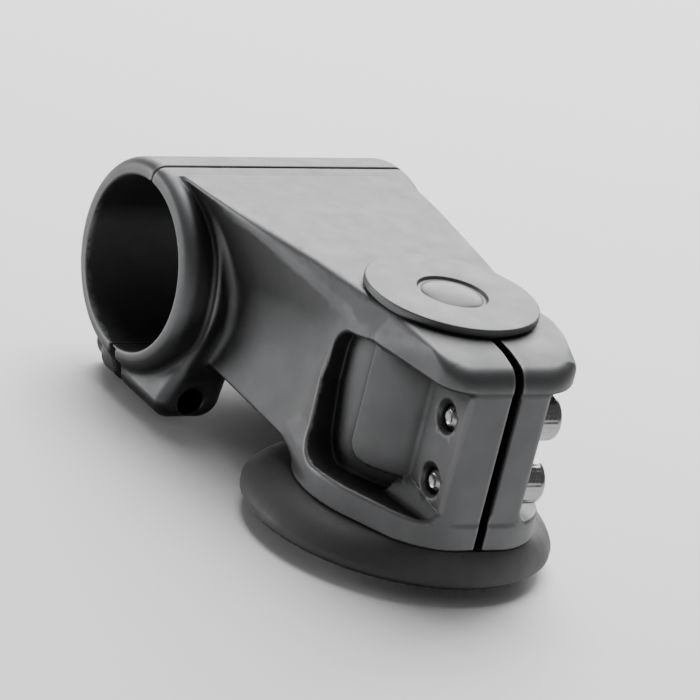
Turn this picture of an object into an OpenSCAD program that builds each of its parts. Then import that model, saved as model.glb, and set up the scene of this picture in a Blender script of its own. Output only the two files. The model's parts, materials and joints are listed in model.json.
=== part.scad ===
// Handlebar stem for a mountain bicycle: a body that clamps the fork's steerer tube and the handlebar,
// a faceplate, two pinch bolts, a preload top cap with its star nut, and the headset cover under the foot.
// Origin: steerer axis at the stem's foot. +Z up the steerer, +X forwards to the handlebar, +Y to the rider's left.

/* [Stem] */
// Distance from the steerer axis to the handlebar axis
reach = 60; // [56:1:70]
// Height of the handlebar axis above the foot
bar_height = 15.1; // [14:0.1:17]
// Height of the steerer clamp's flat top above the foot
clamp_height = 35.8; // [34:0.1:38]
// Distance from the steerer axis to the flat rear face
rear_reach = 26.2; // [25.6:0.1:28]

/* [Handlebar clamp] */
// Diameter of the handlebar where it is clamped
bar_d = 31.8; // [31.8]
// Wall of the handlebar clamp
clamp_wall = 3.3; // [3:0.1:4]
// Width of the handlebar clamp along the bar
clamp_w = 54; // [50:1:60]
// Gap at the split under the bar
split_gap = 2.4; // [1.6:0.2:3.2]

/* [Steerer clamp] */
// Diameter of the steerer tube
steerer_d = 28.6; // [28.6]
// Outer radius of the sleeve around the steerer
sleeve_r = 16.6; // [16.2:0.1:17.2]
// Width of the pinch slot
slot_w = 1.6; // [1:0.2:2.4]
// Outer face of the left, threaded pinch ear from the middle plane
ear_y = 9.2; // [8.8:0.1:9.6]
// Outer face of the right pinch ear, which carries the bolt heads, from the middle plane
head_ear_y = 7.6; // [7.4:0.1:8]
// Height of the lower pinch bolt above the foot
pinch_low = 10.9; // [10.4:0.1:11.4]
// Height between the two pinch bolts
pinch_pitch = 12.2; // [11.4:0.1:12.4]

/* [Foot and headset cover] */
// Radius of the stem's round foot
foot_r = 21.4; // [21:0.1:21.8]
// Thickness of the foot plate under the side windows
foot_t = 5; // [4:0.5:6]
// Radius of the headset cover's lower rim
cover_r = 28.1; // [27.5:0.1:30]
// Height of the headset cover
cover_h = 6.2; // [6:0.1:7]

/* [Top cap] */
// Radius of the top cap's flange
cap_r = 15.8; // [15.2:0.1:16.2]
// Height of the cap's flat top above the clamp's top
cap_rise = 1.9; // [1.6:0.1:2.2]

/* [Hidden] */

$fn = 64;
far = 60;           // longer than any cut needs
bore_fn = 96;

bar_r = bar_d / 2;
barrel_r = bar_r + clamp_wall;
steerer_r = steerer_d / 2;
pinch_heights = [pinch_low, pinch_low + pinch_pitch];
pinch_x = -20;      // pinch bolts lie behind the sleeve

// M5 fasteners of both clamps
m5_shank_r = 2.45;
m5_thread_r = 2.5;
m5_clear_r = 2.8;
m5_head_r = 4.25;
m5_head_h = 5;
m5_socket_d = 4.62; // across the corners of a 4 mm hexagon
m5_socket_depth = 2.6;
m5_length = 18;      // faceplate screws
pinch_length = 16;   // pinch screws
washer_r = 4.75;
washer_t = 0.8;
pinch_seat = head_ear_y - 1; // depth of the spot faces in the right ear
seat_r = washer_r + 0.45;

// Lower bosses of the handlebar clamp
boss_y = 18;
boss_z = -5;
boss_r = 3.8;
boss_half_w = 6.6;
boss_rear = reach - 16.5;
boss_front = reach - split_gap / 2 - 0.4;
lug_back = boss_front + split_gap;
lug_front = reach + 6.5;
split_x = reach + 0.15;

// Tongue of the faceplate, with a gap all round it in the body's groove
tongue_half_w = 20;
tongue_low = bar_height + 16.8;
tongue_t = 1.1;
tongue_reach = 1.3;
tongue_gap = 0.3;

// Steerer bore: two lands with a relief between them
low_land = 11;
high_land = 22;
relief_r = 14.9;

// Outline of the foot, the window and the top slab
window_top = 30;
window_rim_x = 3.2;
window_rim_y = 20.2;
foot_x = -2.3;      // centre of the foot's round part
foot_flank = 116;   // direction in which the foot's flank faces, degrees
foot_corner_r = 7;
slab_corner_r = 5;
edge_slope = 0.165; // the clamp's top widens forwards by this much per millimetre
edge_y = 15;        // half width of the flat top beside the steerer axis
band_w = 2.8;       // the band beside the flat top widens by this much down to the window
band_lean = 26;     // lean of that band from vertical, degrees
top_fall = 1.5;     // the top falls this much from the clamp to the barrel
neck_bottom = 3.7;

// Top cap
cap_top = clamp_height + cap_rise;
cap_land_r = 15;
cap_land_h = 0.6;
spigot_r = 13.9;
spigot_h = 2.6;
o_ring_groove_r = 12.9;
o_ring_groove_z = clamp_height - 1.9;
o_ring_groove_h = 1.2;
o_ring_section_r = 0.56;
bolt_hole_r = 3.4;
pot_r = 8.6;
pot_floor = clamp_height - 3.8;
pot_bottom = clamp_height - 5.4;
plug_hole_r = 5.6;
plug_rim_r = 6.2;
plug_rim_h = 0.6;
plug_r = 5.3;
plug_bottom = pot_floor + 4.25;

// M6 preload bolt and star nut
m6_shank_r = 2.95;
m6_thread_r = 3;
m6_head_r = 5;
m6_head_h = 4;
m6_length = 20;
m6_socket_d = 5.77; // across the corners of a 5 mm hexagon
m6_socket_depth = 2.4;
star_core_r = 4.2;
star_core_bottom = pot_floor - m6_length + 1;
star_core_h = 12;
star_r = 12.3;
star_t = 0.8;
star_rise = 1.6;
star_petals = 8;
lower_star_z = star_core_bottom + 1.5;
upper_star_z = star_core_bottom + 8.5;

// Headset cover and what lies under it
cover_bore_r = 14.6;
cover_ceiling = -3.6;
shim_t = 0.25;
ring_bottom = boss_z - washer_r;
ring_bore_r = 14.4;
seal_r = 15.2;
seal_section_r = 0.65;
seal_z = -1.8;

// Points of an arc about [cx, cy], both ends included
function arc(cx, cy, r, from, to, steps = 6) =
    [for (i = [0 : steps]) let (a = from + (to - from) * i / steps) [cx + r * cos(a), cy + r * sin(a)]];

// The left half of an outline and its mirror image make one closed outline
function mirrored(points) =
    concat(points, [for (i = [len(points) - 1 : -1 : 0]) [points[i][0], -points[i][1]]]);

function edge_at(x) = edge_y + edge_slope * x;

// Foot seen from above: a circle that tapers to a flat rear face with rounded corners
module foot_outline(grow = 0) {
    corner_x = -rear_reach + foot_corner_r;
    corner_y = (foot_r - foot_corner_r - (corner_x - foot_x) * cos(foot_flank)) / sin(foot_flank);
    polygon(mirrored(concat(
        arc(foot_x, 0, foot_r + grow, 0, foot_flank, 24),
        arc(corner_x, corner_y, foot_corner_r + grow, foot_flank, 180, 8)
    )));
}

// Top slab seen from above, with the sloping band beside it
module slab_outline() {
    flank = 90 + atan(edge_slope);
    corner_x = -rear_reach + slab_corner_r;
    corner_y = edge_at(corner_x) + band_w - slab_corner_r / sin(flank);
    polygon(mirrored(concat(
        [[20, edge_at(20)], [12, edge_at(12) + band_w]],
        arc(corner_x, corner_y, slab_corner_r, flank, 180, 8)
    )));
}

// Neck seen from above
module neck_outline() {
    polygon(mirrored([
        [reach - 4, edge_at(reach - 12)], [reach - 12, edge_at(reach - 12)], [22, 18.8], [12, 18.8],
        [8, 19.2], [window_rim_x, window_rim_y], [-4.5, sleeve_r - 0.6]
    ]));
}

// Side view of the top, which rounds down to the rear face
module head_profile(bottom) {
    polygon([
        [-rear_reach - 1, bottom], [-rear_reach, 30], [-rear_reach + 0.2, clamp_height - 2.6],
        [-rear_reach + 1.4, clamp_height - 1.4], [-rear_reach + 4, clamp_height - 0.5],
        [-rear_reach + 8, clamp_height], [cap_r + 2, clamp_height],
        [reach, clamp_height - top_fall], [reach, bottom]
    ]);
}

// Side view of the neck, which runs into the lobes under the barrel
module neck_profile() {
    polygon([
        [-4.5, clamp_height], [-4.5, neck_bottom], [reach - 28, neck_bottom], [boss_rear + 2, 0], [reach, 0],
        [reach, clamp_height - top_fall], [cap_r + 2, clamp_height]
    ]);
}

// Extrudes a side view along Y
module across(width) {
    rotate([90, 0, 0]) linear_extrude(width, center = true) children();
}

// One slice of the scoop beside the neck: a wedge with its point towards the middle plane
module scoop_slice(x, low, waist, high) {
    translate([x, 0, 0]) rotate([90, 0, 90])
        linear_extrude(0.1) polygon([low, waist, high, [far, high[1]], [far, low[1]]]);
}

// Takes the neck's left side in to a waist that falls from the clamp to the barrel
module scoop() {
    hull() {
        scoop_slice(0, [20.4, -1], [17.6, 27], [17.2, 31.2]);
        scoop_slice(reach - 13, [18.4, 2], [15.4, 12.5], [22.4, 33]);
    }
}

// A cylinder along X through a point beside the middle plane
module along_x(r, from, to, y, z) {
    translate([from, y, z]) rotate([0, 90, 0]) cylinder(r = r, h = to - from);
}

// A cylinder along Y at a height behind the sleeve
module across_ears(r, from, to, z) {
    translate([pinch_x, to, z]) rotate([90, 0, 0]) cylinder(r = r, h = to - from);
}

module barrel(r, width) {
    translate([reach, 0, bar_height]) rotate([90, 0, 0])
        cylinder(r = r, h = width, center = true, $fn = bore_fn);
}

// Handlebar bore with a small chamfer at each end
module bar_bore() {
    barrel(bar_r, far * 2);
    for (side = [-1, 1])
        translate([reach, side * clamp_w / 2, bar_height]) rotate([90, 0, 0])
            cylinder(r1 = bar_r + (side < 0 ? 0 : 0.6), r2 = bar_r + (side < 0 ? 0.6 : 0), h = 1.2,
                center = true, $fn = bore_fn);
}

module steerer_bore() {
    translate([0, 0, -1]) cylinder(r = steerer_r, h = far, $fn = bore_fn);
    translate([0, 0, low_land]) cylinder(r = relief_r, h = high_land - low_land, $fn = bore_fn);
}

// Bevels the left edge of the flat top into the band that slopes down beside it
module band_cut() {
    turn = atan(edge_slope);
    rotate([0, 0, turn]) translate([-far / 2, edge_y * cos(turn), clamp_height])
        rotate([band_lean - 90, 0, 0]) cube([far * 2, 9, 12]);
}

// Rounded block along X that holds a faceplate bolt, widest at its foot
module lobe(side, from, to, top) {
    inner = boss_half_w - boss_r;
    for (offset = [-inner, inner])
        along_x(boss_r, from, to, side * boss_y + offset, boss_z);
    translate([from, side * boss_y - inner, boss_z - boss_r]) cube([to - from, inner * 2, boss_r]);
    translate([from, side * boss_y - boss_half_w, boss_z]) cube([to - from, boss_half_w * 2, top - boss_z]);
}

module stem_solids() {
    cylinder(r = sleeve_r, h = clamp_height - 0.2, $fn = bore_fn);
    linear_extrude(foot_t) foot_outline();
    intersection() {
        translate([-rear_reach, -head_ear_y, 0])
            cube([rear_reach - 12, ear_y + head_ear_y, clamp_height]);
        across(far) head_profile(-1);
        linear_extrude(clamp_height) foot_outline();
    }
    difference() {
        union() {
            intersection() {
                translate([0, 0, window_top]) linear_extrude(10) slab_outline();
                across(far) head_profile(window_top - 1);
            }
            intersection() {
                linear_extrude(clamp_height) neck_outline();
                across(far) neck_profile();
            }
        }
        scoop();
        mirror([0, 1, 0]) scoop();
        band_cut();
        mirror([0, 1, 0]) band_cut();
    }
    barrel(barrel_r, clamp_w);
    for (side = [-1, 1])
        lobe(side, boss_rear, boss_front, bar_height - 8);
}

module stem_body() {
    color([0.2, 0.2, 0.21])
    difference() {
        stem_solids();
        translate([reach - 0.15, -far, -far]) cube([far, far * 2, far * 2]);
        translate([boss_front, -far, -far]) cube([far, far * 2, far + boss_z + boss_r]);
        translate([reach - tongue_reach - tongue_gap, -tongue_half_w - tongue_gap, tongue_low - tongue_gap])
            cube([3, (tongue_half_w + tongue_gap) * 2, tongue_t + tongue_gap * 2]);
        bar_bore();
        steerer_bore();
        translate([-far, -slot_w / 2, -1]) cube([far - steerer_r + 2, slot_w, far]);
        for (side = [-1, 1])
            along_x(m5_thread_r, boss_rear - 1, boss_front + 1, side * boss_y, boss_z);
        for (z = pinch_heights) {
            across_ears(m5_thread_r, 0, far, z);
            across_ears(m5_clear_r, -far, 0, z);
            across_ears(seat_r, -far, -pinch_seat, z);
        }
    }
}

module faceplate() {
    color([0.2, 0.2, 0.21])
    difference() {
        union() {
            intersection() {
                barrel(barrel_r, clamp_w);
                translate([split_x, -far, boss_z + boss_r]) cube([far, far * 2, far]);
            }
            for (side = [-1, 1])
                lobe(side, lug_back, lug_front, bar_height - 10);
            translate([reach - tongue_reach, -tongue_half_w, tongue_low])
                cube([tongue_reach + 1, tongue_half_w * 2, tongue_t]);
        }
        bar_bore();
        for (side = [-1, 1]) {
            along_x(m5_clear_r, lug_back - 1, lug_front + 1, side * boss_y, boss_z);
            along_x(m5_head_r + 0.55, lug_front, lug_front + 20, side * boss_y, boss_z);
        }
    }
}

// Socket-head screw pointing down from its head's underside at the origin
module screw(shank_r, length, head_r, head_h, socket_d, socket_depth) {
    tip = 0.6;
    bevel = 0.4;
    difference() {
        rotate_extrude() polygon([
            [0, -length], [shank_r - tip, -length], [shank_r, tip - length], [shank_r, 0],
            [head_r, 0], [head_r, head_h - bevel], [head_r - bevel, head_h], [0, head_h]
        ]);
        translate([0, 0, head_h - socket_depth]) cylinder(d = socket_d, h = socket_depth + 1, $fn = 6);
    }
}

module m5_screw(length) {
    screw(m5_shank_r, length, m5_head_r, m5_head_h, m5_socket_d, m5_socket_depth);
}

module washer() {
    difference() {
        cylinder(r = washer_r, h = washer_t);
        translate([0, 0, -1]) cylinder(r = m5_clear_r, h = 3);
    }
}

module faceplate_bolt(side) {
    color([0.16, 0.16, 0.17])
    translate([lug_front + washer_t, side * boss_y, boss_z]) rotate([0, 90, 0]) m5_screw(m5_length);
}

module faceplate_washer(side) {
    color([0.6, 0.6, 0.62])
    translate([lug_front, side * boss_y, boss_z]) rotate([0, 90, 0]) washer();
}

module pinch_bolt(z) {
    color([0.6, 0.6, 0.62])
    translate([pinch_x, -pinch_seat - washer_t, z]) rotate([90, 0, 0]) m5_screw(pinch_length);
}

module pinch_washer(z) {
    color([0.6, 0.6, 0.62])
    translate([pinch_x, -pinch_seat, z]) rotate([90, 0, 0]) washer();
}

module top_cap() {
    groove_top = o_ring_groove_z + o_ring_groove_h;
    color([0.22, 0.22, 0.23])
    rotate_extrude($fn = bore_fn) polygon([
        [bolt_hole_r, pot_bottom], [pot_r, pot_bottom], [pot_r, clamp_height - spigot_h],
        [spigot_r, clamp_height - spigot_h], [spigot_r, o_ring_groove_z], [o_ring_groove_r, o_ring_groove_z],
        [o_ring_groove_r, groove_top], [spigot_r, groove_top],
        [spigot_r, clamp_height], [cap_land_r, clamp_height], [cap_land_r, clamp_height + cap_land_h],
        [cap_r, clamp_height + cap_land_h], [cap_r, cap_top - 0.4], [cap_r - 0.4, cap_top],
        [plug_rim_r + 0.2, cap_top], [plug_rim_r, cap_top - 0.2], [plug_rim_r, cap_top - plug_rim_h],
        [plug_hole_r, cap_top - plug_rim_h], [plug_hole_r, pot_floor], [bolt_hole_r, pot_floor]
    ]);
}

module top_cap_bolt() {
    color([0.16, 0.16, 0.17])
    translate([0, 0, pot_floor])
        screw(m6_shank_r, m6_length, m6_head_r, m6_head_h, m6_socket_d, m6_socket_depth);
}

// Rubber plug with a low domed top and a hollow skirt
module bolt_plug() {
    dome_rise = 0.9;
    skirt_r = 4.2;
    dome_base = cap_top - plug_rim_h + 0.1;
    dome_r = (plug_r * plug_r + dome_rise * dome_rise) / (2 * dome_rise);
    dome_angle = asin(plug_r / dome_r);
    color([0.24, 0.24, 0.25])
    rotate_extrude($fn = bore_fn) polygon(concat(
        [[0, dome_base - 0.3], [skirt_r, dome_base - 0.3], [skirt_r, plug_bottom], [plug_r, plug_bottom]],
        arc(0, dome_base + dome_rise - dome_r, dome_r, 90 - dome_angle, 90, 8)
    ));
}

// Ring of round section about Z
module o_ring(ring_r, section_r, z) {
    translate([0, 0, z]) rotate_extrude($fn = bore_fn) translate([ring_r, 0]) circle(r = section_r, $fn = 24);
}

module top_cap_o_ring() {
    ring_r = o_ring_groove_r + 0.06 + o_ring_section_r;
    color([0.08, 0.08, 0.08]) o_ring(ring_r, o_ring_section_r, o_ring_groove_z + o_ring_groove_h / 2);
}

module star_nut_core() {
    color([0.7, 0.66, 0.5])
    translate([0, 0, star_core_bottom]) difference() {
        cylinder(r = star_core_r, h = star_core_h);
        translate([0, 0, -1]) cylinder(r = m6_thread_r, h = star_core_h + 2);
    }
}

// Sprung star whose petals lean up and bite the inside of the steerer
module star(z) {
    slot_start = 8;
    slot_w = 2.2;
    bore_r = star_core_r + 0.03;
    color([0.75, 0.76, 0.78])
    difference() {
        translate([0, 0, z]) rotate_extrude() polygon([
            [bore_r, 0], [star_r, star_rise], [star_r, star_rise + star_t], [bore_r, star_t]
        ]);
        for (i = [0 : star_petals - 1])
            rotate([0, 0, 360 / star_petals * i])
                translate([slot_start, -slot_w / 2, z - 1]) cube([star_r, slot_w, 5]);
    }
}

module headset_cover() {
    rim_h = 1.2;
    color([0.17, 0.17, 0.18])
    difference() {
        hull() {
            translate([0, 0, -0.4]) linear_extrude(0.4) foot_outline(0.3);
            translate([0, 0, -cover_h]) cylinder(r = cover_r, h = rim_h, $fn = bore_fn);
        }
        translate([0, 0, -far / 2]) cylinder(r = cover_bore_r, h = far, $fn = bore_fn);
        rotate_extrude($fn = bore_fn) polygon([
            [0, -cover_h - 1], [cover_r - 1.8, -cover_h - 1], [cover_r - 1.8, -cover_h + 0.6],
            [22.5, cover_ceiling], [0, cover_ceiling]
        ]);
        rotate_extrude($fn = bore_fn) translate([0, seal_z - 0.7]) square([15.9, 1.4]);
    }
}

// Split ring that centres the steerer in the upper bearing
module compression_ring() {
    top = cover_ceiling - shim_t;
    color([0.62, 0.62, 0.64])
    difference() {
        rotate_extrude($fn = bore_fn) polygon([
            [ring_bore_r, ring_bottom], [ring_bore_r + 2, ring_bottom], [ring_bore_r + 5, ring_bottom + 3.2],
            [ring_bore_r + 5, top - 0.6], [ring_bore_r + 4.4, top], [ring_bore_r, top]
        ]);
        translate([ring_bore_r - 4, -slot_w / 2, ring_bottom - 1]) cube([12, slot_w, 12]);
    }
}

module steerer_seal() {
    color([0.08, 0.08, 0.08]) o_ring(seal_r, seal_section_r, seal_z);
}

module cover_lip_seal() {
    color([0.08, 0.08, 0.08])
    rotate_extrude($fn = bore_fn) polygon([
        [25, -cover_h - 0.8], [27, -cover_h - 0.8], [27.4, -cover_h], [25, -cover_h]
    ]);
}

module micro_shim() {
    color([0.75, 0.76, 0.78])
    translate([0, 0, cover_ceiling - shim_t]) difference() {
        cylinder(r = 18, h = shim_t);
        translate([0, 0, -1]) cylinder(r = cover_bore_r, h = 3);
    }
}

stem_body();
faceplate();
faceplate_bolt(1);  // faceplate_bolt_left
faceplate_bolt(-1);  // faceplate_bolt_right
faceplate_washer(1);  // faceplate_washer_left
faceplate_washer(-1);  // faceplate_washer_right
pinch_bolt(pinch_heights[1]);  // pinch_bolt_upper
pinch_bolt(pinch_heights[0]);  // pinch_bolt_lower
pinch_washer(pinch_heights[1]);  // pinch_washer_upper
pinch_washer(pinch_heights[0]);  // pinch_washer_lower
top_cap();
top_cap_bolt();
bolt_plug();
top_cap_o_ring();
star_nut_core();
star(upper_star_z);  // star_nut_upper_star
star(lower_star_z);  // star_nut_lower_star
headset_cover();
compression_ring();
steerer_seal();
cover_lip_seal();
micro_shim();
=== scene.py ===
"""Handlebar stem: forged body, faceplate, threaded screws, top cap and headset cover, in a plain studio.
The large shapes are signed distance fields in millimetres, so that every edge has its own radius."""
import json
import math

import bpy
import numpy as np
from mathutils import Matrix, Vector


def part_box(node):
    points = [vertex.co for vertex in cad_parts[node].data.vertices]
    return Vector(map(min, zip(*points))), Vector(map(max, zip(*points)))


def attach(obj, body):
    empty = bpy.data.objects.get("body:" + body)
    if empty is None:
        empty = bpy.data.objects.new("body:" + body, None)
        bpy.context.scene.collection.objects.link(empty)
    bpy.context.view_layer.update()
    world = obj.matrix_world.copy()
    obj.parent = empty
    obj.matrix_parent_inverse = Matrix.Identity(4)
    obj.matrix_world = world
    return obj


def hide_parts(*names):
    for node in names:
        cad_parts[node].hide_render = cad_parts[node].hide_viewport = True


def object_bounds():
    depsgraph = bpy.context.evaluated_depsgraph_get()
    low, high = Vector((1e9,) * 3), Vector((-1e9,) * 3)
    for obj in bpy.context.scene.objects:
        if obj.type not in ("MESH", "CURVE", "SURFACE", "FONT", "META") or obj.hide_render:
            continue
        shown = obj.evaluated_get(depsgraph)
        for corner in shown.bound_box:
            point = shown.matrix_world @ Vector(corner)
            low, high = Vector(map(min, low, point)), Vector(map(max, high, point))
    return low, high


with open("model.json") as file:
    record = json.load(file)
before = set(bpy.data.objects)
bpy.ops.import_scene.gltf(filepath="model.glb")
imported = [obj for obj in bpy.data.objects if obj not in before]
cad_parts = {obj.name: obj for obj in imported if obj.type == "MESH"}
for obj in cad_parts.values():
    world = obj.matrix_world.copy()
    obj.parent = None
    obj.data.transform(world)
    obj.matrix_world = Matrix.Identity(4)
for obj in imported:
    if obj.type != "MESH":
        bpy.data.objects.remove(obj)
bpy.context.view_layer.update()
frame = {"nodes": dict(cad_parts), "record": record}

import openvdb
from mathutils import Matrix, Vector

MM = 0.001


def box_mm(node):
    """Lowest and highest corner of a CAD node, in millimetres."""
    low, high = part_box(node)
    return np.array(low) / MM, np.array(high) / MM


MOUNTS = {mount["name"]: mount for mount in frame["record"]["mounts"]}
STEM_LOW, STEM_HIGH = box_mm("stem_body")
CAP_HIGH = box_mm("top_cap")[1]
COVER_LOW, COVER_HIGH = box_mm("headset_cover")
FACE_LOW, FACE_HIGH = box_mm("faceplate")

# Driving sizes, all in millimetres
REACH = MOUNTS["handlebar_clamp"]["pos_m"][0] / MM
BAR_Z = MOUNTS["handlebar_clamp"]["pos_m"][2] / MM
BAR_R = MOUNTS["handlebar_clamp"]["dims"]["r_mm"]
STEERER_R = MOUNTS["steerer_clamp"]["dims"]["r_mm"]
LOW_LAND = MOUNTS["steerer_clamp"]["dims"]["length_mm"]
BARREL_R = FACE_HIGH[0] - REACH
CLAMP_HALF_W = STEM_HIGH[1]
CLAMP_TOP = STEM_HIGH[2]
REAR = -STEM_LOW[0]
FOOT_X = -2.3
FOOT_R = 21.4
FOOT_T = 5
SLEEVE_R = 16.6
TUBE_R = 15.4
EAR_Y = 9.2
HEAD_EAR_Y = 7.6
SLOT_W = 1.6
WINDOW_TOP = 30
WINDOW_FRONT = 6.3
NECK_BOTTOM = 3.7
PINCH_X = -20
PINCH_SEAT = -box_mm("pinch_washer_lower")[1][1]
BOLT_HEAD_R = 4.25
PINCH_Z = [box_mm(node)[0][2] + BOLT_HEAD_R for node in ("pinch_bolt_lower", "pinch_bolt_upper")]
LOBE_Y = 18
LOBE_HALF_W = 6.6
LOBE_R = 3.8
LOBE_Z = STEM_LOW[2] + LOBE_R
LOBE_REAR = REACH - 16.5
SPLIT_BACK = REACH - 0.15
LOWER_SPLIT_BACK = REACH - 1.6
LOWER_SPLIT_FRONT = REACH + 0.8
LUG_FRONT = box_mm("faceplate_washer_left")[0][0]
LOBE_LEAN = 0.33
EDGE_SLOPE = 0.165
EDGE_Y = 15
BAND_LEAN = math.radians(26)
TOP_FALL = 1.5
TOP_FALL_RUN = 17.8
SLAB_FLANK = 99.4
LEFT_SLAB_R, RIGHT_SLAB_R = 17.6, 18.3
LEFT_SLAB_CORNER, RIGHT_SLAB_CORNER = 5, 8
FOOT_FLANK = 116
FOOT_CORNER = 7
NARROWS_FROM = 2
THREAD_HOLE_R = 2.5
CLEAR_HOLE_R = 2.8
WASHER_T = 0.8
WASHER_GAP = 0.04
TONGUE_RISE = 17.35
RELIEF_DEPTH = 0.3
CAP_POT_FLOOR = CLAMP_TOP - 3.8
FIELD_STEP = 0.34

# The neck's flank: half widths and heights of its lines, first at the steerer and then at NECK_END
NECK_END = 47
LOW_LINE_Y, LOW_LINE_Z = (20.4, 18.4), (-1, 2)
WAIST_LINE_Y, WAIST_LINE_Z = (17.6, 15.4), (27, 12.5)
HIGH_LINE_Y, HIGH_LINE_Z = (17.2, 22.4), (31.2, 33)


# Fields: negative inside, with x, y and z in millimetres as arrays that broadcast together

def rounded_and(a, b, radius):
    """Intersection whose outer edge has the given radius."""
    outside = np.hypot(np.maximum(a + radius, 0), np.maximum(b + radius, 0))
    return np.minimum(-radius, np.maximum(a, b)) + outside


def rounded_or(a, b, radius):
    """Union whose inner corner has a fillet of the given radius."""
    return -rounded_and(-a, -b, radius)


def rounded_cut(solid, air, radius):
    """What is left of the solid outside the air, with the edge rounded."""
    return rounded_and(solid, -air, radius)


def mix(a, b, t):
    return a + (b - a) * t


def round_outline(x, side_y, centre, radius, flank_angle, corner_radius):
    """A circle whose flanks run tangent to the stem's flat rear face, with rounded corners there."""
    across, along = math.cos(math.radians(flank_angle)), math.sin(math.radians(flank_angle))
    circle = np.hypot(x - centre, side_y) - radius
    flank = (x - centre) * across + side_y * along - radius
    back = rounded_and(flank, -x - REAR, corner_radius)
    return np.where((x - centre) * along - side_y * across > 0, circle, back)


def foot_outline(x, side_y):
    return round_outline(x, side_y, FOOT_X, FOOT_R, FOOT_FLANK, FOOT_CORNER)


def column(x, y, z):
    """The steerer clamp from outside, which narrows from the foot to the slab at its top."""
    side_y = np.abs(y)
    slab_r = np.where(y > 0, LEFT_SLAB_R, RIGHT_SLAB_R)
    slab_corner = np.where(y > 0, LEFT_SLAB_CORNER, RIGHT_SLAB_CORNER)
    slab = round_outline(x, side_y, 0, slab_r, SLAB_FLANK, slab_corner)
    rise = np.clip((z - NARROWS_FROM) / (WINDOW_TOP - NARROWS_FROM), 0, 1)
    return mix(foot_outline(x, side_y), slab, rise ** 1.3)


def neck_side(x, side_y, z):
    """The neck's flank: a flared lower part and an undercut upper part that meet in a waist."""
    t = np.clip(x / NECK_END, 0, 1.2)
    low_y, low_z = mix(*LOW_LINE_Y, t), mix(*LOW_LINE_Z, t)
    waist_y, waist_z = mix(*WAIST_LINE_Y, t), mix(*WAIST_LINE_Z, t)
    high_y, high_z = mix(*HIGH_LINE_Y, t), mix(*HIGH_LINE_Z, t)
    flare = (waist_y - low_y) / (waist_z - low_z)
    undercut = (high_y - waist_y) / (high_z - waist_z)
    lower = (side_y - low_y - (z - low_z) * flare) / np.sqrt(1 + flare ** 2)
    upper = (side_y - waist_y - (z - waist_z) * undercut) / np.sqrt(1 + undercut ** 2)
    waist_r = mix(0.4, 4, np.clip(t, 0, 1))
    return rounded_or(lower, upper, waist_r)


def top_surface(x, z):
    """The flat top, its fall to the barrel and its curve down to the rear."""
    fall = math.atan(TOP_FALL / (REACH - TOP_FALL_RUN))
    rear_curve_x, rear_curve_r = -16, 24
    flat = z - CLAMP_TOP
    falling = (z - CLAMP_TOP + TOP_FALL) * math.cos(fall) + (x - REACH) * math.sin(fall)
    curve = np.hypot(x - rear_curve_x, z - CLAMP_TOP + rear_curve_r) - rear_curve_r
    return np.where(x < rear_curve_x, curve, np.maximum(flat, falling))


def side_band(x, y, z):
    """The narrow band that leans outwards beside the flat top, which keeps its width behind the cap."""
    turn = math.atan(EDGE_SLOPE)
    left_start, left_run = -4, 17
    right_start, right_run, right_flare = -11, 11, 1.4
    bulge_x, bulge_run, bulge = -9.5, 8, 3.5
    left_width = EDGE_SLOPE * np.clip(left_start - x, 0, left_run)
    right_width = right_flare * np.clip((right_start - x) / right_run, 0, 1)
    right_width = right_width + bulge * np.exp(-((x - bulge_x) / bulge_run) ** 2)
    outward = np.abs(y) * math.cos(turn) - x * math.sin(turn) - EDGE_Y * math.cos(turn)
    outward = outward - np.where(y > 0, left_width, right_width)
    return outward * math.cos(BAND_LEAN) + (z - CLAMP_TOP) * math.sin(BAND_LEAN)


def barrel(x, side_y, z):
    from_axis = np.hypot(x - REACH, z - BAR_Z)
    return rounded_and(from_axis - BARREL_R, side_y - CLAMP_HALF_W, 2.8)


def saddle(x, side_y, z):
    """The raised ring where the neck meets the barrel, behind the faceplate."""
    ring_height, ring_half_w, ring_set_back = 1.3, 20.9, 7
    ring = np.hypot(x - REACH, z - BAR_Z) - BARREL_R - ring_height
    return np.maximum(rounded_and(ring, side_y - ring_half_w, 0.7), x - REACH + ring_set_back)


def lobe(side_y, z, lean=0):
    """Section of the rounded block that holds a faceplate bolt, open upwards, leaning in on the outside."""
    outer = side_y + lean * np.maximum(z - LOBE_Z, 0) - LOBE_Y
    beside = np.maximum(np.maximum(outer, LOBE_Y - side_y) - (LOBE_HALF_W - LOBE_R), 0)
    return np.hypot(beside, np.maximum(LOBE_Z - z, 0)) - LOBE_R


def window_air(x, y, z):
    """Air of a side window around the sleeve's clamping block and the pinch ear."""
    side_y = np.abs(y)
    ear_y = np.where(y > 0, EAR_Y, HEAD_EAR_Y)
    front_lean_top, roof_fall_start, slope_run = 18, -4, 12
    block_front, block_bottom = -3.9, 8
    ear_front, facet_front = -8, -12
    front = x - WINDOW_FRONT + 0.3 * np.clip(front_lean_top - z, 0, slope_run)
    roof = WINDOW_TOP - 0.2 * np.clip(x - roof_fall_start, 0, slope_run)
    air = rounded_and(front, np.maximum(z - roof, FOOT_T - z), 4.5)
    from_axis = np.hypot(x, side_y)
    block = rounded_and(x - block_front, block_bottom - z, 3.5)
    block = rounded_and(from_axis - SLEEVE_R, block, 0.4)
    ear = rounded_and(side_y - ear_y, -x - REAR, 1.2)
    ear = np.maximum(ear, x - ear_front)
    facet_top = 6.6 + (x + REAR) * 0.18
    foot_facet = (side_y - ear_y) * 0.8 + (z - facet_top) * 0.6
    ear = np.minimum(ear, np.maximum(np.maximum(foot_facet, x - facet_front), -x - REAR))
    kept = np.minimum(rounded_or(block, ear, 0.5), from_axis - TUBE_R)
    return rounded_cut(air, kept, 0.6)


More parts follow.
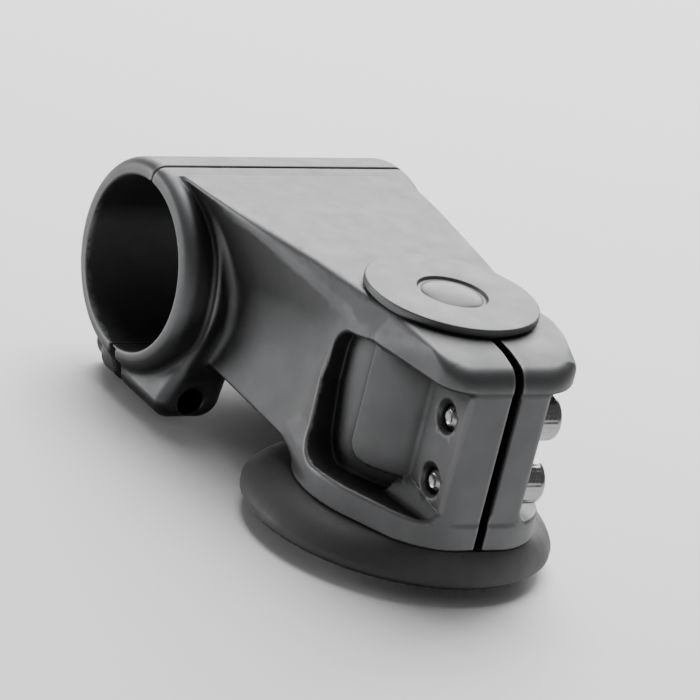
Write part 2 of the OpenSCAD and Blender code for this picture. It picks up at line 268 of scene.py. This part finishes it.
def bolt_hole(radius_from_axis, along, radius, face, countersink=0.7):
    """Air of a hole that opens through a face at along == face, with a countersunk mouth."""
    widening = np.minimum(along - face, 0.2) + countersink
    mouth = np.maximum(radius_from_axis - radius - widening, face - countersink - along)
    return np.minimum(radius_from_axis - radius, mouth)


def stem_body_field(x, y, z):
    side_y = np.abs(y)
    neck_rear, neck_set_back, tuck_start = -2, 4, 2
    flank = neck_side(x, side_y, z) + 0.25 * np.maximum(tuck_start - x, 0)
    neck = rounded_and(flank, NECK_BOTTOM - z, 0.8)
    neck = np.maximum(neck, np.maximum(x - REACH + neck_set_back, neck_rear - x))
    fillet = mix(3.5, 1.2, np.clip((z - 6) / 4, 0, 1))
    solid = rounded_and(rounded_or(column(x, y, z), neck, fillet), -z, 0.4)
    solid = rounded_and(solid, side_band(x, y, z), 0.7)
    solid = rounded_or(solid, saddle(x, side_y, z), 2.2)
    solid = rounded_or(solid, barrel(x, side_y, z), 0.8)
    top_edge = mix(0.7, 2.5, np.clip((-18 - x) / 5, 0, 1))
    solid = rounded_and(solid, top_surface(x, z), top_edge)
    block_top, rear_slope, rear_slope_z = 13, 0.167, -2.4
    rear_face = LOBE_REAR - rear_slope * (z - rear_slope_z) - x
    block = rounded_and(rounded_and(lobe(side_y, z, LOBE_LEAN), rear_face, 2.2), z - block_top, 2)
    solid = rounded_or(solid, block, 1.6)
    solid = rounded_and(solid, side_y - CLAMP_HALF_W, 0.6)
    solid = rounded_cut(solid, window_air(x, y, z), 0.8)
    from_steerer = np.hypot(x, y)
    solid = rounded_cut(solid, from_steerer - STEERER_R, 0.5)
    relief = from_steerer - STEERER_R - RELIEF_DEPTH
    relief = np.maximum(relief, np.abs(z - 1.5 * LOW_LAND) - LOW_LAND / 2)
    solid = np.maximum(solid, -relief)
    slot = np.maximum(side_y - SLOT_W / 2, x + STEERER_R - 1)
    solid = rounded_cut(solid, slot, 0.35)
    solid = rounded_cut(solid, np.hypot(x - REACH, z - BAR_Z) - BAR_R, 0.5)
    for pinch_z in PINCH_Z:
        from_bolt = np.hypot(x - PINCH_X, z - pinch_z)
        threaded = np.maximum(bolt_hole(from_bolt, y, THREAD_HOLE_R, EAR_Y), -y)
        clear = np.maximum(from_bolt - CLEAR_HOLE_R, y)
        spot_face = np.maximum(from_bolt - 5.2, y + PINCH_SEAT)
        solid = rounded_cut(solid, np.minimum(np.minimum(threaded, clear), spot_face), 0.25)
    lobe_hole = bolt_hole(np.hypot(side_y - LOBE_Y, z - LOBE_Z), -x, THREAD_HOLE_R, -LOBE_REAR)
    solid = rounded_cut(solid, lobe_hole, 0.2)
    lower_split = np.maximum(LOWER_SPLIT_BACK - x, z - LOBE_Z - LOBE_R)
    groove_rear, groove_half_w, groove_half_h = REACH - 1.6, 20.3, 0.85
    groove = np.maximum(groove_rear - x, side_y - groove_half_w)
    groove = np.maximum(groove, np.abs(z - BAR_Z - TONGUE_RISE) - groove_half_h)
    solid = rounded_cut(solid, np.minimum(lower_split, SPLIT_BACK - x), 0.35)
    return np.maximum(solid, -groove)


def faceplate_field(x, y, z):
    side_y = np.abs(y)
    back = np.where(z < LOBE_Z + LOBE_R, LOWER_SPLIT_FRONT, REACH + 0.15) - x
    lug_drop = 9
    lug = rounded_and(rounded_and(lobe(side_y, z, LOBE_LEAN), x - LUG_FRONT, 1), z - BAR_Z + lug_drop, 1)
    solid = rounded_or(barrel(x, side_y, z), lug, 2.2)
    solid = rounded_and(solid, side_y - CLAMP_HALF_W, 0.6)
    solid = rounded_and(solid, back, 0.35)
    set_back, half_run, half_h, half_w = 0.1, 1.2, 0.55, 20
    tongue = np.maximum(np.abs(x - REACH + set_back) - half_run, np.abs(z - BAR_Z - TONGUE_RISE) - half_h)
    solid = np.minimum(solid, np.maximum(tongue, side_y - half_w))
    from_bar = np.hypot(x - REACH, z - BAR_Z)
    panel_half_w, panel_half_h, panel_depth = 15.5, 9.5, 0.7
    panel = rounded_and(side_y - panel_half_w, np.abs(z - BAR_Z) - panel_half_h, 4)
    panel = np.maximum(panel, BARREL_R - panel_depth - from_bar)
    solid = rounded_cut(solid, np.maximum(panel, REACH - x), 0.4)
    solid = rounded_cut(solid, from_bar - BAR_R, 0.5)
    from_bolt = np.hypot(side_y - LOBE_Y, z - LOBE_Z)
    solid = rounded_cut(solid, from_bolt - CLEAR_HOLE_R, 0.2)
    spot_face_r = 4.95
    return rounded_cut(solid, np.maximum(from_bolt - spot_face_r, LUG_FRONT - x), 0.3)


def slopes(field, points, reach=0.02):
    """Gradient of a field at points, by central differences."""
    gradient = np.empty_like(points)
    for axis in range(3):
        step = np.zeros(3)
        step[axis] = reach
        ahead, behind = (points + step).T, (points - step).T
        gradient[:, axis] = (field(*ahead) - field(*behind)) / (2 * reach)
    return gradient


def mesh_from_field(name, field, low, high, step, adaptivity):
    """Meshes the field's zero surface, moves each vertex onto it and takes the shading normals from it."""
    pad = 3
    axes = [np.arange(low[i] - pad * step, high[i] + pad * step, step, dtype=np.float32) for i in range(3)]
    x, y, z = axes[0][:, None, None], axes[1][None, :, None], axes[2][None, None, :]
    limit = pad * step
    values = np.clip(field(x, y, z), -limit, limit).astype(np.float32)
    grid = openvdb.FloatGrid(limit)
    grid.copyFromArray(values)
    points, triangles, quads = grid.convertToPolygons(isovalue=0.0, adaptivity=adaptivity)
    points = np.array([axis[0] for axis in axes]) + points.astype(float) * step
    start = points.copy()
    for _ in range(5):
        gradient = slopes(field, points)
        length = np.maximum((gradient ** 2).sum(1), 0.05)
        move = (field(*points.T) / length)[:, None] * gradient
        points -= np.clip(move, -step / 2, step / 2)
        points = np.clip(points, start - step, start + step)
    normals = slopes(field, points)
    normals /= np.maximum(np.linalg.norm(normals, axis=1), 1e-6)[:, None]
    faces = [tuple(face) for face in triangles] + [tuple(face) for face in quads]
    mesh = bpy.data.meshes.new(name)
    mesh.from_pydata((points * MM).tolist(), [], faces)
    mesh.update()
    mesh.shade_smooth()
    mesh.normals_split_custom_set_from_vertices(normals.tolist())
    add_edge_mask(mesh, field, points, normals)
    piece = bpy.data.objects.new(name, mesh)
    bpy.context.scene.collection.objects.link(piece)
    return piece


def add_edge_mask(mesh, field, points, normals):
    """Stores how sharply the surface turns, above zero on outer edges, and a painted shade amount, higher
    where the surface faces down or nearby solid hides it.
    """
    reach = 0.5
    outside = field(*(points + normals * reach).T)
    bend = np.zeros(len(points))
    for axis in range(3):
        step = np.zeros(3)
        step[axis] = reach
        bend += field(*(points + step).T) + field(*(points - step).T)
    bend = np.clip(bend - (outside + field(*(points - normals * reach).T)), -1, 1)
    mesh.attributes.new("edge", "FLOAT", "POINT").data.foreach_set("value", bend.astype(np.float32))
    # Painted shade: surfaces that face down or are hidden by nearby solid get a higher value, which darkens
    # their colour
    painted_shade_depth = 1.1 * np.clip(-normals[:, 2], 0, 1)
    for distance in (1.5, 3, 6, 12):
        clear = field(*(points + normals * distance).T)
        painted_shade_depth += np.clip(1 - clear / distance, 0, 1) / 4
    mesh.attributes.new("painted_shade", "FLOAT", "POINT").data.foreach_set("value", painted_shade_depth.astype(np.float32))


# Turned pieces: a profile of (radius, height) points about Z, where a radius may be a function of the angle

def filleted(corners, steps=4):
    """Profile from corners (radius, height, fillet), with an arc at each corner that has a fillet."""
    points = []
    for i, (r, h, fillet) in enumerate(corners):
        here = np.array([r, h], float)
        if not fillet:
            points.append(tuple(here))
            continue
        before = np.array(corners[i - 1][:2], float) - here
        after = np.array(corners[(i + 1) % len(corners)][:2], float) - here
        before, after = before / np.linalg.norm(before), after / np.linalg.norm(after)
        half = math.acos(np.clip(before @ after, -1, 1)) / 2
        centre = here + (before + after) / np.linalg.norm(before + after) * fillet / math.sin(half)
        start = here + before * fillet / math.tan(half) - centre
        end = here + after * fillet / math.tan(half) - centre
        sweep = math.acos(np.clip(start @ end / fillet ** 2, -1, 1))
        for k in range(steps + 1):
            t = k / steps
            arc = (math.sin((1 - t) * sweep) * start + math.sin(t * sweep) * end) / math.sin(sweep)
            points.append(tuple(centre + arc))
    return points


def lathe(name, profile, place=None, steps=120, closed=False, smooth_angle=35):
    """Turns a profile about Z and places it. A closed profile makes a ring; an open one ends on the axis."""
    angles = np.arange(steps) * 2 * math.pi / steps
    rows = []
    for r, h in profile:
        radius = r(angles) if callable(r) else np.full(steps, float(r))
        height = h(angles) if callable(h) else np.full(steps, float(h))
        rows.append(np.stack([radius * np.cos(angles), radius * np.sin(angles), height], 1))
    vertices = np.concatenate(rows)
    faces = []
    count = len(profile)
    for k in range(count if closed else count - 1):
        below, above = k * steps, (k + 1) % count * steps
        for j in range(steps):
            n = (j + 1) % steps
            faces.append((below + j, below + n, above + n, above + j))
    if not closed:
        faces.append(tuple(range(steps))[::-1])
        faces.append(tuple(range((count - 1) * steps, count * steps)))
    mesh = bpy.data.meshes.new(name)
    mesh.from_pydata((vertices * MM).tolist(), [], faces)
    mesh.update()
    mesh.shade_smooth()
    mesh.set_sharp_from_angle(angle=math.radians(smooth_angle))
    if place is not None:
        mesh.transform(place)
    piece = bpy.data.objects.new(name, mesh)
    bpy.context.scene.collection.objects.link(piece)
    return piece


def place_along(origin, axis):
    """Matrix that puts the origin at a point in millimetres and turns +Z to the axis."""
    turn = Vector(axis).to_track_quat("Z", "Y").to_matrix().to_4x4()
    return Matrix.Translation(Vector(origin) * MM) @ turn


def hexagon(across_corners):
    """Radius of a hexagon at each angle."""
    flat = across_corners / 2 * math.cos(math.pi / 6)
    return lambda angle: flat / np.cos((angle + math.pi / 6) % (math.pi / 3) - math.pi / 6)


def thread(major, depth, pitch, height, tip, taper):
    """Radius of a right-handed thread at one height, tapering to the tip."""
    def radius(angle):
        phase = (height / pitch - angle / (2 * math.pi)) % 1
        flank = np.clip(1.35 * (1 - np.abs(2 * phase - 1)) - 0.18, 0, 1)
        return np.minimum(major - depth * flank, taper + (height - tip))
    return radius


def knurled(r, teeth, depth):
    return lambda angle: r - depth * (0.5 + 0.5 * np.cos(teeth * angle))


def screw(name, place, thread_r, pitch, length, head_r, head_h, socket, socket_depth):
    """Socket-head screw whose head's underside is at the origin."""
    depth = 0.58 * pitch
    samples = int(length / pitch * 9)
    heights = [-length + (length - 0.25) * i / samples for i in range(samples + 1)]
    tip_r = thread_r - depth - 0.7
    profile = [(0.05, -length + 0.2), (tip_r - 0.3, -length + 0.1), (tip_r - 0.1, -length)]
    profile += [(thread(thread_r, depth, pitch, h, -length, tip_r), h) for h in heights[1:]]
    profile += [(thread_r, -0.2), (thread_r, 0), (head_r - 0.25, 0), (head_r, 0.25)]
    knurl_top = head_h - 1.2
    grip = knurled(head_r, 30, 0.09)
    profile += [(grip, 0.5), (grip, knurl_top), (head_r, knurl_top + 0.15)]
    profile += [(head_r, head_h - 0.7), (head_r - 0.08, head_h - 0.35), (head_r - 0.3, head_h - 0.1)]
    profile += [(head_r - 0.65, head_h), (socket / 2 + 0.5, head_h), (socket / 2 + 0.28, head_h - 0.04)]
    profile += [(hexagon(socket + 0.1), head_h - 0.22), (hexagon(socket), head_h - 0.4)]
    floor = head_h - socket_depth
    profile += [(hexagon(socket), floor), (socket / 3, floor - 0.25), (0.05, floor - 0.5)]
    return lathe(name, profile, place, smooth_angle=40)


# Materials

def tree_of(name):
    material = bpy.data.materials.new(name)
    material.use_nodes = True
    nodes = material.node_tree.nodes
    return material, nodes, material.node_tree.links, nodes["Principled BSDF"]


def noise(nodes, links, scale, detail, roughness=0.5):
    coordinates = nodes.new("ShaderNodeTexCoord")
    texture = nodes.new("ShaderNodeTexNoise")
    texture.inputs["Scale"].default_value = scale
    texture.inputs["Detail"].default_value = detail
    texture.inputs["Roughness"].default_value = roughness
    links.new(coordinates.outputs["Object"], texture.inputs["Vector"])
    return texture.outputs["Fac"]


def remapped(nodes, links, value, low, high, to_low, to_high):
    remap = nodes.new("ShaderNodeMapRange")
    for socket, number in zip(remap.inputs[1:5], (low, high, to_low, to_high)):
        socket.default_value = number
    links.new(value, remap.inputs["Value"])
    return remap.outputs["Result"]


def mixed(nodes, links, factor, first, second):
    blend = nodes.new("ShaderNodeMix")
    blend.data_type = "RGBA"
    links.new(factor, blend.inputs["Factor"])
    for socket, colour in ((blend.inputs["A"], first), (blend.inputs["B"], second)):
        if isinstance(colour, tuple):
            socket.default_value = (*colour, 1)
        else:
            links.new(colour, socket)
    return blend.outputs["Result"]


def bumped(nodes, links, shader, height, strength, distance):
    bump = nodes.new("ShaderNodeBump")
    bump.inputs["Strength"].default_value = strength
    bump.inputs["Distance"].default_value = distance
    links.new(height, bump.inputs["Height"])
    links.new(bump.outputs["Normal"], shader.inputs["Normal"])


def grained(name, dark, light, worn, metallic, roughness, grain_scale, grain_depth, specular=0.5):
    """A finish with cloudy colour, fine grain, uneven gloss, outer edges rubbed lighter, and painted shade
    that darkens surfaces which face down or lie hidden.
    """
    material, nodes, links, shader = tree_of(name)
    shader.inputs["Metallic"].default_value = metallic
    shader.inputs["Specular IOR Level"].default_value = specular
    cloud = remapped(nodes, links, noise(nodes, links, 90, 4), 0.35, 0.65, 0, 1)
    colour = mixed(nodes, links, cloud, dark, light)
    edge = nodes.new("ShaderNodeAttribute")
    edge.attribute_name = "edge"
    rubbed = remapped(nodes, links, edge.outputs["Fac"], 0.1, 0.5, 0, 0.6)
    colour = mixed(nodes, links, rubbed, colour, worn)
    # Painted shade: the colour darkens towards a quarter of the dark tone where the surface faces down or
    # lies hidden in a recess
    painted_shade = nodes.new("ShaderNodeAttribute")
    painted_shade.attribute_name = "painted_shade"
    painted_shade_amount = remapped(nodes, links, painted_shade.outputs["Fac"], 0.03, 0.35, 0, 0.9)
    colour = mixed(nodes, links, painted_shade_amount, colour, tuple(0.25 * tone for tone in dark))
    links.new(colour, shader.inputs["Base Color"])
    gloss = remapped(nodes, links, noise(nodes, links, 260, 6), 0.3, 0.7, roughness[0], roughness[1])
    links.new(gloss, shader.inputs["Roughness"])
    bumped(nodes, links, shader, noise(nodes, links, grain_scale, 3, 0.6), 1.0, grain_depth)
    return material


def brushed(name, dark, light, roughness, stretch):
    """Turned or brushed steel: streaks of uneven gloss along one direction."""
    material, nodes, links, shader = tree_of(name)
    shader.inputs["Metallic"].default_value = 1
    coordinates = nodes.new("ShaderNodeTexCoord")
    mapping = nodes.new("ShaderNodeMapping")
    mapping.inputs["Scale"].default_value = stretch
    streaks = nodes.new("ShaderNodeTexNoise")
    streaks.inputs["Scale"].default_value = 1
    streaks.inputs["Detail"].default_value = 5
    links.new(coordinates.outputs["Object"], mapping.inputs["Vector"])
    links.new(mapping.outputs["Vector"], streaks.inputs["Vector"])
    streak = streaks.outputs["Fac"]
    links.new(mixed(nodes, links, streak, dark, light), shader.inputs["Base Color"])
    links.new(remapped(nodes, links, streak, 0.3, 0.7, *roughness), shader.inputs["Roughness"])
    bumped(nodes, links, shader, streak, 0.6, 0.00001)
    return material


FINISH = {
    "body_alloy": grained("body_alloy", (0.1, 0.101, 0.104), (0.118, 0.119, 0.122), (0.24, 0.24, 0.245),
                          0.8, (0.46, 0.54), 5200, 0.000035),
    "cap_alloy": grained("cap_alloy", (0.105, 0.106, 0.109), (0.122, 0.123, 0.126), (0.24, 0.24, 0.245),
                         0.8, (0.46, 0.54), 5200, 0.00003),
    "cover_composite": grained("cover_composite", (0.032, 0.032, 0.033), (0.04, 0.04, 0.041),
                               (0.06, 0.06, 0.06), 0.0, (0.5, 0.62), 2600, 0.00005),
    "plug_rubber": grained("plug_rubber", (0.045, 0.045, 0.047), (0.055, 0.055, 0.058), (0.07, 0.07, 0.07),
                           0.0, (0.34, 0.44), 3800, 0.00002),
    "seal_rubber": grained("seal_rubber", (0.014, 0.014, 0.014), (0.02, 0.02, 0.02), (0.03, 0.03, 0.03),
                           0.0, (0.5, 0.65), 3000, 0.00003),
    "black_steel": brushed("black_steel", (0.02, 0.02, 0.021), (0.05, 0.05, 0.052), (0.28, 0.42),
                           (900, 900, 4000)),
    "bright_steel": brushed("bright_steel", (0.22, 0.22, 0.225), (0.42, 0.42, 0.43), (0.2, 0.36),
                            (900, 4000, 900)),
    "spring_steel": brushed("spring_steel", (0.42, 0.42, 0.43), (0.55, 0.55, 0.56), (0.25, 0.4),
                            (2500, 2500, 900)),
    "ring_alloy": brushed("ring_alloy", (0.52, 0.52, 0.53), (0.64, 0.64, 0.65), (0.3, 0.42),
                          (700, 700, 6000)),
}


def finish_piece(piece, slot, body, *nodes):
    """Gives a piece its finish, the CAD body that it rides on and the nodes that it stands for."""
    piece.data.materials.append(FINISH[slot])
    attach(piece, body)
    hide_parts(*nodes)


# Pieces

def make_stem_body():
    piece = mesh_from_field("forged_body", stem_body_field, STEM_LOW, STEM_HIGH, FIELD_STEP, 0.008)
    finish_piece(piece, "body_alloy", "stem", "stem_body")


def make_faceplate():
    piece = mesh_from_field("bar_faceplate", faceplate_field, FACE_LOW, FACE_HIGH, FIELD_STEP, 0.02)
    finish_piece(piece, "body_alloy", "faceplate", "faceplate")


def make_m5_screws():
    sizes = dict(thread_r=2.46, pitch=0.8, head_r=BOLT_HEAD_R, head_h=5, socket=4.62, socket_depth=2.6)
    for side, name in ((1, "left"), (-1, "right")):
        node = f"faceplate_bolt_{name}"
        place = place_along((LUG_FRONT + WASHER_T, side * LOBE_Y, LOBE_Z), (1, 0, 0))
        finish_piece(screw(f"faceplate_screw_{name}", place, length=18, **sizes), "black_steel", node, node)
    for z, name in zip(PINCH_Z, ("lower", "upper")):
        node = f"pinch_bolt_{name}"
        place = place_along((PINCH_X, -PINCH_SEAT - WASHER_T, z), (0, -1, 0))
        finish_piece(screw(f"pinch_screw_{name}", place, length=16, **sizes), "bright_steel", node, node)


def make_cap_screw():
    sizes = dict(thread_r=2.96, pitch=1, head_r=5, head_h=4, socket=5.77, socket_depth=2.4)
    place = place_along((0, 0, CAP_POT_FLOOR), (0, 0, 1))
    piece = screw("preload_screw", place, length=20, **sizes)
    finish_piece(piece, "black_steel", "top_cap_bolt", "top_cap_bolt")


def make_washers():
    """Washers a little thinner than the CAD ones, so that no head shares a plane with its washer."""
    outer_r, thickness = 4.75, WASHER_T - WASHER_GAP
    corners = [(CLEAR_HOLE_R, 0, 0.1), (outer_r, 0, 0.2)]
    corners += [(outer_r, thickness, 0.2), (CLEAR_HOLE_R, thickness, 0.1)]
    for side, name in ((1, "left"), (-1, "right")):
        place = place_along((LUG_FRONT, side * LOBE_Y, LOBE_Z), (1, 0, 0))
        piece = lathe(f"faceplate_screw_washer_{name}", filleted(corners), place, closed=True)
        finish_piece(piece, "black_steel", "faceplate", f"faceplate_washer_{name}")
    for z, name in zip(PINCH_Z, ("lower", "upper")):
        place = place_along((PINCH_X, -PINCH_SEAT, z), (0, -1, 0))
        piece = lathe(f"pinch_screw_washer_{name}", filleted(corners), place, closed=True)
        finish_piece(piece, "bright_steel", f"pinch_washer_{name}", f"pinch_washer_{name}")


def make_top_cap():
    top, seat = CAP_HIGH[2], CLAMP_TOP
    flange_r = CAP_HIGH[0]
    corners = [
        (3.4, seat - 5.4, 0.2), (8.6, seat - 5.4, 0.5), (8.6, seat - 2.6, 0.3), (13.9, seat - 2.6, 0.3),
        (13.9, seat - 1.9, 0.1), (12.9, seat - 1.9, 0.1), (12.9, seat - 0.7, 0.1), (13.9, seat - 0.7, 0.1),
        (13.9, seat, 0), (15, seat, 0.1), (15, seat + 0.6, 0.1), (flange_r, seat + 0.6, 0.15),
        (flange_r, top, 0.35), (6.5, top, 0.3), (6.2, top - 0.6, 0.15), (5.6, top - 0.6, 0.15),
        (5.6, CAP_POT_FLOOR, 0.3), (3.4, CAP_POT_FLOOR, 0.2),
    ]
    piece = lathe("preload_cap", filleted(corners), closed=True, steps=144, smooth_angle=30)
    finish_piece(piece, "cap_alloy", "top_cap", "top_cap")


def make_plug():
    low, high = box_mm("bolt_plug")
    rim = high[0]
    turns = np.linspace(1.35, 0.02, 16)
    dome = [((rim + 0.7) * math.sin(turn), high[2] - (1 - math.cos(turn)) * 1.5) for turn in turns]
    lip = dome[0][1] - 0.3
    profile = [(0.05, low[2] + 0.7), (4.2, low[2] + 0.7), (4.2, low[2]), (rim - 0.15, low[2])]
    profile += [(rim, low[2] + 0.15), (rim, lip - 0.12), (rim + 0.7, lip), (rim + 0.78, lip + 0.2)] + dome
    piece = lathe("cap_plug", profile, steps=96)
    finish_piece(piece, "plug_rubber", "bolt_plug", "bolt_plug")


def make_headset_cover():
    """Loft from the stem's foot outline to the round rim, with a bore, a seal groove and a hollow below."""
    steps = 192
    angles = np.arange(steps) * 2 * math.pi / steps
    probe = np.linspace(15, 32, 1400)
    top_r = np.empty(steps)
    for i, angle in enumerate(angles):
        outline = foot_outline(probe * math.cos(angle), np.abs(probe * math.sin(angle)))
        top_r[i] = probe[np.argmin(np.abs(outline))] - 0.05
    rim_r, rim_z = COVER_HIGH[0] - 0.02, COVER_LOW[2]
    flare = []
    for t in np.linspace(0, 1, 14):
        out = 0.55 * math.sin(t * math.pi / 2) + 0.45 * t
        down = 0.55 * (1 - math.cos(t * math.pi / 2)) + 0.45 * t
        height = -0.02 - down * (-rim_z - 1.2)
        flare.append((lambda _, o=out: top_r + (rim_r - top_r) * o, height))
    profile = [(14.6, -0.25), (14.85, -0.02)] + flare
    profile += [(rim_r, rim_z + 0.25), (rim_r - 0.25, rim_z), (26.5, rim_z), (26.3, rim_z + 0.6)]
    profile += [(22.5, -3.6), (14.85, -3.6), (14.6, -3.35), (14.6, -2.5), (15.9, -2.5), (15.9, -1.1)]
    profile.append((14.6, -1.1))
    piece = lathe("flared_cover", profile, closed=True, steps=steps, smooth_angle=28)
    finish_piece(piece, "cover_composite", "stem", "headset_cover")


def keep_cad_nodes():
    """CAD nodes whose shape is right get their finish and softened edges."""
    for row in frame["record"]["subparts"]:
        node = frame["nodes"][row["node"]]
        if node.hide_render:
            continue
        node.data.materials.clear()
        node.data.materials.append(FINISH[row["material_slot"]])
        soften = node.modifiers.new("soften", "BEVEL")
        soften.width = 0.08 * MM
        soften.segments = 2
        soften.limit_method = "ANGLE"


make_stem_body()
make_faceplate()
make_m5_screws()
make_cap_screw()
make_washers()
make_top_cap()
make_plug()
make_headset_cover()
keep_cad_nodes()


# Camera, floor and lights, in metres

def make_camera():
    """A long lens from behind and to the left of the stem, rolled by about 14 degrees."""
    camera = bpy.data.objects.new("camera", bpy.data.cameras.new("camera"))
    bpy.context.scene.collection.objects.link(camera)
    low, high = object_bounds()
    target = (low + high) / 2
    eye = Vector((-1.1265, 0.8226, 0.5690))
    lean = Vector((0.494, -0.0504, 0.868))
    forward = (target - eye).normalized()
    right = forward.cross(lean).normalized()
    up = right.cross(forward)
    turn = Matrix((right, up, -forward)).transposed()
    camera.matrix_world = Matrix.Translation(eye) @ turn.to_4x4()
    camera.data.sensor_width = 36
    camera.data.lens = 440
    camera.data.clip_start = 0.1
    bpy.context.scene.camera = camera


def make_floor():
    half, gap = 3.0, 0.0002
    low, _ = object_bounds()
    mesh = bpy.data.meshes.new("floor")
    corners = [(-half, -half), (half, -half), (half, half), (-half, half)]
    mesh.from_pydata([(x, y, low.z - gap) for x, y in corners], [], [(0, 1, 2, 3)])
    floor = bpy.data.objects.new("floor", mesh)
    bpy.context.scene.collection.objects.link(floor)
    material, nodes, links, shader = tree_of("pale_floor")
    shader.inputs["Roughness"].default_value = 0.85
    tone = mixed(nodes, links, noise(nodes, links, 6, 3), (0.9, 0.9, 0.9), (0.93, 0.93, 0.93))
    links.new(tone, shader.inputs["Base Color"])
    mesh.materials.append(material)


def make_softbox(name, place, size, power):
    light = bpy.data.lights.new(name, "AREA")
    light.shape = "RECTANGLE"
    light.size, light.size_y = size
    light.energy = power
    lamp = bpy.data.objects.new(name, light)
    bpy.context.scene.collection.objects.link(lamp)
    lamp.location = place
    lamp.rotation_euler = (-Vector(place)).to_track_quat("-Z", "Y").to_euler()


def make_world():
    world = bpy.data.worlds.new("studio")
    world.use_nodes = True
    world.node_tree.nodes["Background"].inputs["Color"].default_value = (1, 1, 1, 1)
    world.node_tree.nodes["Background"].inputs["Strength"].default_value = 0.17
    bpy.context.scene.world = world


make_camera()
make_floor()
make_world()
make_softbox("overhead", (0.32, -0.2, 0.85), (0.7, 0.7), 13)
make_softbox("front_right", (0.9, -0.68, 0.5), (1.1, 0.8), 19)
make_softbox("low_left", (0.85, 0.75, 0.15), (0.5, 0.2), 4.5)
